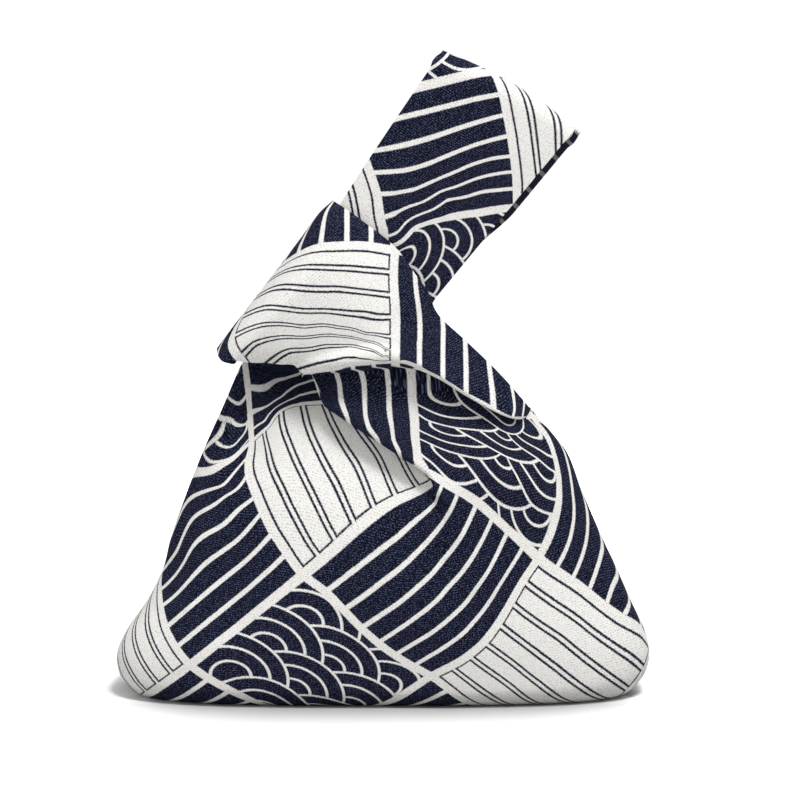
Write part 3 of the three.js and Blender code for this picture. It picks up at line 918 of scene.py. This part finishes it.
class Number:
    """A socket of a material's nodes that stands in expressions."""

    def __init__(self, finish, socket):
        self.finish = finish
        self.socket = socket

    def maths(self, operation, *others):
        sockets = dict(enumerate((self, *others)))
        return self.finish.node("ShaderNodeMath", {"operation": operation}, sockets)

    __add__ = __radd__ = maths_method("ADD")
    __mul__ = __rmul__ = maths_method("MULTIPLY")
    __sub__ = maths_method("SUBTRACT")
    __truediv__ = maths_method("DIVIDE")
    __mod__ = maths_method("FLOORED_MODULO")
    __pow__ = maths_method("POWER")
    __abs__ = maths_method("ABSOLUTE")
    less = maths_method("LESS_THAN")
    lowest = maths_method("MINIMUM")
    highest = maths_method("MAXIMUM")
    floor = maths_method("FLOOR")
    ceiling = maths_method("CEIL")
    part = maths_method("FRACT")
    root = maths_method("SQRT")
    wave = maths_method("SINE")

    def __rsub__(self, other):
        return self.maths("MULTIPLY_ADD", -1, other)

    def to_edge(self):
        """How far this number is from the nearer of 0 and 1."""
        return self.lowest(1 - self)

    def choose(self, when_zero, when_one):
        """One of two numbers, or a blend of them, by this number from 0 to 1."""
        sockets = {0: self, 2: when_zero, 3: when_one}
        return self.finish.node("ShaderNodeMix", {"data_type": "FLOAT"}, sockets)

    def ease(self, low, high, start=0, end=1):
        """From start at low to end at high, without corners."""
        settings = {"interpolation_type": "SMOOTHSTEP"}
        sockets = {0: self, 1: low, 2: high, 3: start, 4: end}
        return self.finish.node("ShaderNodeMapRange", settings, sockets)


class Finish:
    """The nodes of one material, or of the studio's surround."""

    def __init__(self, owner):
        owner.use_nodes = True
        self.owner = owner
        self.tree = owner.node_tree
        self.tree.nodes.clear()

    def node(self, kind, settings=None, sockets=None, out=0):
        """One output of a new node, or nothing from a node that ends the tree."""
        node = self.tree.nodes.new(kind)
        for key, value in (settings or {}).items():
            setattr(node, key, value)
        for key, value in (sockets or {}).items():
            socket = node.inputs[key]
            if isinstance(value, Number):
                self.tree.links.new(value.socket, socket)
            else:
                socket.default_value = value
        return Number(self, node.outputs[out]) if node.outputs else None

    def parts(self, vector):
        """A vector's first two parts."""
        return [self.node("ShaderNodeSeparateXYZ", {}, {0: vector}, axis) for axis in "XY"]

    def noise(self, places, name):
        sockets = {"Vector": places, **NOISES[name]}
        return self.node("ShaderNodeTexNoise", {"noise_dimensions": "2D"}, sockets)

    def colour_mix(self, factor, first, second):
        """One of two colours, or a blend of them, by a number from 0 to 1."""
        return self.node("ShaderNodeMix", {"data_type": "RGBA"}, {0: factor, 6: first, 7: second}, 2)

    def cloth(self, colour, height, bump, roughness, specular):
        """A matte surface of a colour, raised by its weave."""
        sockets = {"Strength": bump, "Distance": WEAVE_DEPTH, "Height": height}
        normal = self.node("ShaderNodeBump", {}, sockets)
        sockets = {
            "Base Color": colour,
            "Roughness": roughness,
            "Specular IOR Level": specular,
            "Normal": normal,
        }
        return self.output(self.node("ShaderNodeBsdfPrincipled", {}, sockets))

    def output(self, shader, kind="ShaderNodeOutputMaterial"):
        self.node(kind, {}, {"Surface": shader})
        return self.owner


def tinted(colour, share=1, added=0):
    return (*[value * share + added for value in colour], 1)


def grey(value):
    return (value, value, value, 1)


# The print's drawing, in squares of the print
BAND_HALF_WIDTH = 0.0275
STRIPE_HALF_WIDTH = 0.0146
INK_EDGE = 0.0035
FRAME_GAP = 0.017
FRAME_OUTER_GAP = 0.034
FRAME_END_GAP = 0.031
FRAME_HALF_WIDTH = 0.0072
SCALE_RADIUS = 0.325
SCALE_RINGS = 3
SCALE_LINE_HALF_WIDTH = 0.0092
SCALE_FIRST_ROW = 0.105
SCALE_FIRST_COLUMN = 0.206

# Noise in the cloth: how finely it changes within a square of the print, and its finer layers
NOISES = {
    "wander": {"Scale": 9, "Detail": 3},
    "ragged": {"Scale": 130, "Detail": 1},
    "fleck": {"Scale": 120, "Detail": 2},
    "slub": {"Scale": 30, "Detail": 4},
    "reverse": {"Scale": 160, "Detail": 3},
}

# How the print wanders and its edges fray, in squares, and how the twill's lines bend, in radians
PRINT_WANDER = 0.003
PRINT_FRAY = 0.009
TWILL_BEND = 2.2

# The weave: the shares of its parts, and where the cotton goes to its darker grain and painted shade,
# and the navy to its painted highlights
WEAVE_DEPTH = 0.00025
FLECK_LIMITS = (0.25, 0.75)
TWILL_SHARE = 0.3
COTTON_SLUB_SHARE = 0.25
COTTON_LIMITS = (0.08, 0.5)
COTTON_SHADE = 0.55
NAVY_SLUB_SHARE = 0.2
NAVY_LIMITS = (0.54, 0.84)
NAVY_THREAD_HIGHLIGHT = (0.076, 0.087, 0.155)
REVERSE_LIMITS = (0.4, 0.75)
REVERSE_TINT = 2.2
REVERSE_ADDED = 0.01
REVERSE_PRINT_SHARE = 0.4
FACE_FINISH = {"bump": 0.5, "roughness": 0.88, "specular": 0.06}
REVERSE_FINISH = {"bump": 0.4, "roughness": 0.9, "specular": 0.2}


def line(distance, half_width):
    """1 on a line of the print, 0 away from it, with the ink's soft edge between."""
    return abs(distance).ease(half_width - INK_EDGE, half_width + INK_EDGE, 1, 0)


def striped_square(along):
    """White stripes across a navy square."""
    return line((along * STRIPES).part().to_edge() / STRIPES, STRIPE_HALF_WIDTH)


def framed_square(across, along):
    """Bare cloth with seven long rectangles drawn in navy."""
    inside = (across * STRIPES).part().to_edge() / STRIPES - FRAME_GAP
    inside = inside.lowest(across.to_edge() - FRAME_OUTER_GAP)
    inside = inside.lowest(along.to_edge() - FRAME_END_GAP)
    return 1 - line(inside, FRAME_HALF_WIDTH)


def wave_square(crown, sideways):
    """Rows of two or one round overlapping scales, each with rings, drawn in white on navy."""
    half_row = SCALE_RADIUS / 2
    reach = SCALE_RADIUS + SCALE_LINE_HALF_WIDTH
    front = ((crown - reach - SCALE_FIRST_ROW) / half_row).ceiling().highest(-1)
    distance = None
    covered = None
    for step in range(3):
        row = front + step
        gap_down = crown - SCALE_FIRST_ROW - row * half_row
        odd = row % 2
        place = (sideways - SCALE_FIRST_COLUMN - odd * SCALE_RADIUS) / (2 * SCALE_RADIUS)
        centre = (place + 0.5).floor().highest(0).lowest(1 - odd)
        gap_aside = (place - centre) * (2 * SCALE_RADIUS)
        away = (gap_down * gap_down + gap_aside * gap_aside).root()
        if distance is None:
            distance = away
            covered = away.less(reach)
        else:
            distance = covered.choose(away, distance)
            covered = covered.highest(away.less(reach))
    spacing = SCALE_RADIUS / SCALE_RINGS
    ring = (distance / spacing + 0.5).floor().highest(1)
    return line(distance - ring * spacing, SCALE_LINE_HALF_WIDTH)


def print_whiteness(q, p):
    """How bare the cloth is at a place of the print: 0 under navy ink, 1 where none is printed."""
    across = q.part()
    along = p.part()
    column = q.floor()
    row = p.floor() + 1
    band = line(across.to_edge().lowest(along.to_edge()), BAND_HALF_WIDTH)
    odd_column = column % 2
    odd_row = row % 2
    same = 1 - abs(odd_column - odd_row)
    down = (row % PRINT_REPEAT).less(1)
    forwards = (column % PRINT_REPEAT).less(PRINT_REPEAT / 2)
    crown = down.choose(across, along)
    sideways = down.choose(along, across)
    crown = forwards.choose(1 - crown, crown)
    other = odd_row.choose(wave_square(crown, sideways), framed_square(across, along))
    inside = same.choose(other, striped_square(along))
    return inside.highest(band)


def printed_cloth_material(settings):
    """Navy printed cotton twill, with light specks painted on the navy as highlights on its threads."""
    finish = Finish(bpy.data.materials.new("printed_cotton"))
    places = finish.node("ShaderNodeUVMap", {"uv_map": "print"})
    across, down = finish.parts(places)
    wander = finish.noise(places, "wander") - 0.5
    shake = wander * PRINT_WANDER + (finish.noise(places, "ragged") - 0.5) * PRINT_FRAY
    bare = print_whiteness(across + shake, down - shake)

    twill_turns = math.sqrt(2) * math.pi * settings.square / settings.twill
    twill = ((across - down) * twill_turns + wander * TWILL_BEND).wave() * 0.5 + 0.5
    weave = mix(finish.noise(places, "fleck").ease(*FLECK_LIMITS), twill, TWILL_SHARE)
    slub = finish.noise(places, "slub")

    # The darker cotton is partly the weave's grain and partly painted shade in its twill lines.
    shaded = tinted(settings.cotton, COTTON_SHADE)
    lit = mix(weave, slub, COTTON_SLUB_SHARE).ease(*COTTON_LIMITS)
    light = finish.colour_mix(lit, shaded, tinted(settings.cotton))
    # Light specks on the navy are painted highlights on its threads, spread a little by the slubs.
    thread_highlight = mix(weave, slub, NAVY_SLUB_SHARE).ease(*NAVY_LIMITS)
    dark = finish.colour_mix(thread_highlight, tinted(settings.navy), tinted(NAVY_THREAD_HIGHLIGHT))
    return finish.cloth(finish.colour_mix(bare, dark, light), weave, **FACE_FINISH)


def cloth_reverse_material(settings):
    """The cloth's inner side, where the print shows through only faintly."""
    finish = Finish(bpy.data.materials.new("cloth_reverse"))
    places = finish.node("ShaderNodeUVMap", {"uv_map": "print"})
    across, down = finish.parts(places)
    slub = finish.noise(places, "reverse")
    lighter = tinted(settings.reverse, REVERSE_TINT, REVERSE_ADDED)
    colour = finish.colour_mix(slub.ease(*REVERSE_LIMITS), tinted(settings.reverse), lighter)
    bare = print_whiteness(across, down) * REVERSE_PRINT_SHARE
    colour = finish.colour_mix(bare, colour, tinted(settings.cotton))
    return finish.cloth(colour, slub, **REVERSE_FINISH)


CLOTH_MATERIALS = {
    "printed_cotton": printed_cloth_material,
    "cloth_reverse": cloth_reverse_material,
}


def add_grid(bm, points, squares, facing):
    """One grid of cloth in the mesh, with its places in the print on its faces."""
    rows, columns = points.shape[:2]
    print_layer = bm.loops.layers.uv.verify()
    made = bmesh.ops.create_grid(bm, x_segments=columns - 1, y_segments=rows - 1, size=1)["verts"]
    index = {}
    for vertex in made:
        column = round((vertex.co.x + 1) / 2 * (columns - 1))
        row = round((vertex.co.y + 1) / 2 * (rows - 1))
        index[vertex] = (row, column)
    for vertex, (row, column) in index.items():
        x, depth, z = points[row, column]
        vertex.co = (x * MM, depth * facing * MM, z * MM)
        place = squares[row, column]
        for loop in vertex.link_loops:
            loop[print_layer].uv = place
    faces = list({face for vertex in made for face in vertex.link_faces})
    if facing > 0:
        bmesh.ops.reverse_faces(bm, faces=faces)


def panel_grids(side, fineness):
    """The three grids of a panel: its body, its long handle and its short handle."""
    across = [index / LEFT_COLUMNS for index in range(LEFT_COLUMNS)]
    across += [PLEAT_MIDDLE + stop / 2 for stop in PLEAT_STOPS]
    across += [2 + (index + 1) / RIGHT_COLUMNS for index in range(RIGHT_COLUMNS)]
    up = [-2 + index / FLOOR_ROWS for index in range(FLOOR_ROWS)]
    up += [-1 + index / CORNER_ROWS for index in range(CORNER_ROWS)]
    up += [1 - (1 - index / WALL_ROWS) ** WALL_CROWDING for index in range(WALL_ROWS + 1)]
    body = body_points(side, refined(across, fineness), refined(up, fineness))
    hidden_turn = HIDDEN_TURN * fineness
    visible_turn = VISIBLE_TURN * fineness
    along = np.linspace(0, 1 - STRAP_END_ROUND, LONG_HANDLE_ROWS * fineness + 1)
    end_turn = np.sin(np.linspace(0, 1, STRAP_END_ROWS * fineness + 1)[1:] * np.pi / 2)
    along = np.concatenate([along, mix(1 - STRAP_END_ROUND, 1, end_turn)])
    long_handle = long_handle_points(side, body[-1, : hidden_turn + 1], along)
    short_handle = short_handle_grid(body[-1, visible_turn:], fineness)
    return body, long_handle, short_handle


def front_body_squares(body, fineness):
    """The print's places on the front of the body, with the marks left of the pleat and their cloth."""
    hidden_turn = HIDDEN_TURN * fineness
    visible_turn = VISIBLE_TURN * fineness
    corner_row = (FLOOR_ROWS + CORNER_ROWS) * fineness
    left_places = body_cloth_places(body, LEFT_COLUMNS * fineness, corner_row)
    right_places = body_cloth_places(body, RIGHT_REFERENCE * fineness, corner_row)
    pixels = photograph_pixels(body)
    wall = slice(corner_row - fineness, None)
    under_tip = slice(wall.start, int(np.searchsorted(body[:, visible_turn, 2], PLEAT_TIP)))

    def marks_in(lines, scales, places, columns):
        middle = marks_on_cloth(line_marks(MIDDLE_LINES), pixels[under_tip], places[under_tip])
        marks = line_marks(lines) + scale_marks(scales)
        return middle + marks_on_cloth(marks, pixels[wall, columns], places[wall, columns])

    left = marks_in(LEFT_LINES, LEFT_SCALE_MARKS, left_places, slice(0, hidden_turn + 1))
    right = marks_in(RIGHT_LINES, RIGHT_SCALE_MARKS, right_places, slice(visible_turn, None))
    share = np.clip((np.arange(body.shape[1]) - hidden_turn) / (visible_turn - hidden_turn), 0, 1)
    left_squares = print_places(left, left_places)
    right_squares = print_places(right, right_places)
    return mix(left_squares, right_squares, smooth(share)[None, :, None]), left, left_places


def long_handle_squares(long_handle, foot_marks, foot_places):
    """The print's places on the front of the long handle, which starts in the body's print."""
    places = handle_cloth_places(long_handle)
    pixels = photograph_pixels(long_handle)
    marks = marks_on_cloth(line_marks(LONG_HANDLE_LINES), pixels, places)
    foot_squares = print_places(foot_marks, places - places[0] + foot_places)
    settled = smooth((long_handle[..., 2:] - FOLD_TOP - FOOT_PRINT_HEIGHT) / FOOT_PRINT_HEIGHT)
    return mix(foot_squares, print_places(marks, places), settled)


def short_handle_squares(short_handle, foot_squares):
    """The print's places on the front of the short handle, which starts in the body's print."""
    places = handle_cloth_places(short_handle)
    face = slice(LEDGE_ROWS, None)
    pixels = photograph_pixels(short_handle)[face]
    squares = print_places(marks_on_cloth(line_marks(SHORT_HANDLE_LINES), pixels, places[face]), places)
    ledge = np.linspace(0, 1, LEDGE_ROWS + 1)[:, None, None] ** LEDGE_PRINT_LAG
    squares[: LEDGE_ROWS + 1] = mix(foot_squares, squares[LEDGE_ROWS], ledge)
    return squares


def front_squares(grids, fineness):
    """The print's places on the front panel's three grids."""
    body, long_handle, short_handle = grids
    body_squares, left_marks, left_places = front_body_squares(body, fineness)
    foot_places = left_places[-1, : HIDDEN_TURN * fineness + 1]
    short_foot_squares = body_squares[-1, VISIBLE_TURN * fineness :]
    return (
        body_squares,
        long_handle_squares(long_handle, left_marks, foot_places),
        short_handle_squares(short_handle, short_foot_squares),
    )


def back_squares(grids, fineness, square):
    """The print's places on the back panel's three grids."""
    body, long_handle, short_handle = grids
    corner_row = (FLOOR_ROWS + CORNER_ROWS) * fineness
    middle = (LEFT_COLUMNS + len(PLEAT_STOPS) // 2) * fineness
    places = [body_cloth_places(body, middle, corner_row)]
    places += [handle_cloth_places(long_handle), handle_cloth_places(short_handle)]
    return [back_print_places(place, square) for place in places]


def make_panel(name):
    """One panel of cloth with its thickness, its print and its cloth's reverse."""
    scene = bpy.context.scene
    side = SIDES[name]
    fineness = scene.bag_cloth.fineness
    grids = panel_grids(side, fineness)
    if name == "front_panel":
        squares = front_squares(grids, fineness)
    else:
        squares = back_squares(grids, fineness, scene.bag_print.square)

    bm = bmesh.new()
    bm.loops.layers.uv.new("print")
    for points, places in zip(grids, squares):
        add_grid(bm, points, places, side["facing"])
    bmesh.ops.remove_doubles(bm, verts=bm.verts, dist=WELD_DISTANCE)
    smoothed = [
        vertex for vertex in bm.verts if not vertex.is_boundary and vertex.co.z > SMOOTHED_ABOVE * MM
    ]
    for _ in range(SMOOTHING_PASSES):
        bmesh.ops.smooth_vert(
            bm, verts=smoothed, factor=SMOOTHING, use_axis_x=False, use_axis_y=True, use_axis_z=False
        )
    area = sum(face.calc_area() for face in bm.faces)

    mesh = bpy.data.meshes.new(name + "_cloth")
    bm.to_mesh(mesh)
    bm.free()
    cloth = bpy.data.objects.new(name + "_cloth", mesh)
    scene.collection.objects.link(cloth)
    for material_name, make in CLOTH_MATERIALS.items():
        mesh.materials.append(bpy.data.materials.get(material_name) or make(scene.bag_print))
    mesh.shade_smooth()
    give_thickness(cloth, side["facing"], scene.bag_cloth.thickness)
    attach(cloth, "root")
    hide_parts(name)


def give_thickness(cloth, facing, thickness):
    """An inner face inside the cloth's outer one, kept on its own side of the seam plane."""
    solidify = cloth.modifiers.new("thickness", "SOLIDIFY")
    solidify.thickness = thickness
    solidify.offset = -1
    solidify.use_even_offset = False
    solidify.material_offset = 1
    solidify.material_offset_rim = 0
    bpy.context.view_layer.objects.active = cloth
    with bpy.context.temp_override(object=cloth, active_object=cloth, selected_objects=[cloth]):
        bpy.ops.object.modifier_apply(modifier=solidify.name)
    nearest = SEAM_GAP / 2 * MM
    for vertex in cloth.data.vertices:
        vertex.co.y = facing * max(vertex.co.y * facing, nearest)


class MakePanels(bpy.types.Operator):
    """Make the front and the back panel, each with its halves of both handles"""

    bl_idname = "knot_bag.panels"
    bl_label = "Panels"

    def execute(self, context):
        for name in SIDES:
            make_panel(name)
        return {"FINISHED"}


# The paper: how light it looks and how light it is to the bag, its painted shadow under the bag in
# shares of the base, and the distances from the bag between which it turns as white as the surround
PAPER_SEEN = 0.97
PAPER_REFLECTING = 0.55
PAPER_ROUGHNESS = 0.95
SHADE_POWER = 4
SHADE_FRONT = 0.8
SHADE_END = 1.1
SHADE_DEEPEST = 0.4
GLOW_LIMITS = (0.18, 0.7)
FLOOR_HALF_SIDE = 8

# The lights: where each stands and the side of its square, in metres
LIGHTS = {
    "key": {"place": (0.38, -0.7, 1.65), "size": 0.45},
    "fill": {"place": (-1.2, -1.3, 0.7), "size": 1.1},
    "back": {"place": (0.5, 1.6, 0.9), "size": 1.2},
}
SURROUND_SEEN = 1.05
CLIP_START = 0.05
CLIP_END = 20


def floor_material():
    """White paper, which throws less light on the bag than it shows, with a painted shadow under the
    bag.
    """
    finish = Finish(bpy.data.materials.new("white_floor"))
    places = finish.node("ShaderNodeTexCoord", out="Object")
    away = finish.node("ShaderNodeVectorMath", {"operation": "LENGTH"}, {0: places}, "Value")
    seen = finish.node("ShaderNodeLightPath", out="Is Camera Ray")
    across, along = finish.parts(places)
    aside = abs(across) / (BASE_WIDTH * MM / 2)
    ahead = (abs(along) / (BODY_DEPTH * MM / 2) - SHADE_FRONT).highest(0)
    # Painted shadow: the paper darkens towards the bag's base, deepest under its middle.
    painted_shadow_share = (aside**SHADE_POWER + ahead).ease(0, SHADE_END, SHADE_DEEPEST, 1)
    paper = finish.colour_mix(seen, grey(PAPER_REFLECTING), grey(PAPER_SEEN))
    paper = finish.colour_mix(painted_shadow_share, grey(0), paper)
    glow = finish.colour_mix(away.ease(*GLOW_LIMITS) * seen, grey(0), grey(1))
    sockets = {
        "Base Color": paper,
        "Roughness": PAPER_ROUGHNESS,
        "Emission Color": glow,
        "Emission Strength": 1,
    }
    return finish.output(finish.node("ShaderNodeBsdfPrincipled", {}, sockets))


def studio_world(surround):
    """White all round, which lights the bag less than it shows."""
    finish = Finish(bpy.data.worlds.new("studio"))
    seen = finish.node("ShaderNodeLightPath", out="Is Camera Ray")
    sockets = {"Color": grey(1), "Strength": seen.choose(surround, SURROUND_SEEN)}
    background = finish.node("ShaderNodeBackground", {}, sockets)
    return finish.output(background, "ShaderNodeOutputWorld")


def add_light(name, place, size, power, target):
    light = bpy.data.lights.new(name, "AREA")
    light.shape = "SQUARE"
    light.size = size
    light.energy = power
    lamp = bpy.data.objects.new(name, light)
    lamp.location = place
    lamp.rotation_euler = (target - Vector(place)).to_track_quat("-Z", "Y").to_euler()
    bpy.context.scene.collection.objects.link(lamp)


class MakeStage(bpy.types.Operator):
    """Set up the white floor, the studio's light and the camera"""

    bl_idname = "knot_bag.stage"
    bl_label = "Studio"

    def execute(self, context):
        scene = context.scene
        studio = scene.bag_studio
        bm = bmesh.new()
        bmesh.ops.create_grid(bm, x_segments=1, y_segments=1, size=FLOOR_HALF_SIDE)
        mesh = bpy.data.meshes.new("floor")
        bm.to_mesh(mesh)
        bm.free()
        floor = bpy.data.objects.new("floor", mesh)
        scene.collection.objects.link(floor)
        mesh.materials.append(floor_material())

        scene.world = studio_world(studio.surround)
        target = Vector(studio.target)
        for name, light in LIGHTS.items():
            add_light(name + "_light", light["place"], light["size"], getattr(studio, name), target)

        camera = bpy.data.cameras.new("camera")
        camera.lens = studio.lens
        camera.sensor_width = SENSOR_WIDTH
        camera.clip_start = CLIP_START
        camera.clip_end = CLIP_END
        holder = bpy.data.objects.new("camera", camera)
        back = Vector((0, -math.cos(studio.elevation), math.sin(studio.elevation)))
        holder.location = target + back * studio.distance
        holder.rotation_euler = (math.pi / 2 - studio.elevation, 0, 0)
        scene.collection.objects.link(holder)
        scene.camera = holder
        scene.view_settings.view_transform = "Standard"
        return {"FINISHED"}


class KnotBagPanel(bpy.types.Panel):
    """The knot bag's pieces and settings"""

    bl_idname = "VIEW3D_PT_knot_bag"
    bl_label = "Knot Bag"
    bl_space_type = "VIEW_3D"
    bl_region_type = "UI"
    bl_category = "Knot Bag"

    def draw(self, context):
        layout = self.layout
        for group in SETTINGS:
            settings = getattr(context.scene, group)
            for name in settings.__annotations__:
                layout.prop(settings, name)
        for operator in OPERATORS:
            layout.operator(operator.bl_idname)


OPERATORS = (MakePanels, MakeStage)
SETTINGS = {"bag_print": BagPrint, "bag_cloth": BagCloth, "bag_studio": BagStudio}
CLASSES = (*SETTINGS.values(), *OPERATORS, KnotBagPanel)


def register():
    for item in CLASSES:
        bpy.utils.register_class(item)
    for name, group in SETTINGS.items():
        setattr(bpy.types.Scene, name, bpy.props.PointerProperty(type=group))


def unregister():
    for name in SETTINGS:
        delattr(bpy.types.Scene, name)
    for item in reversed(CLASSES):
        bpy.utils.unregister_class(item)


def main():
    register()
    bpy.ops.knot_bag.panels()
    bpy.ops.knot_bag.stage()


if __name__ == "__main__":
    main()
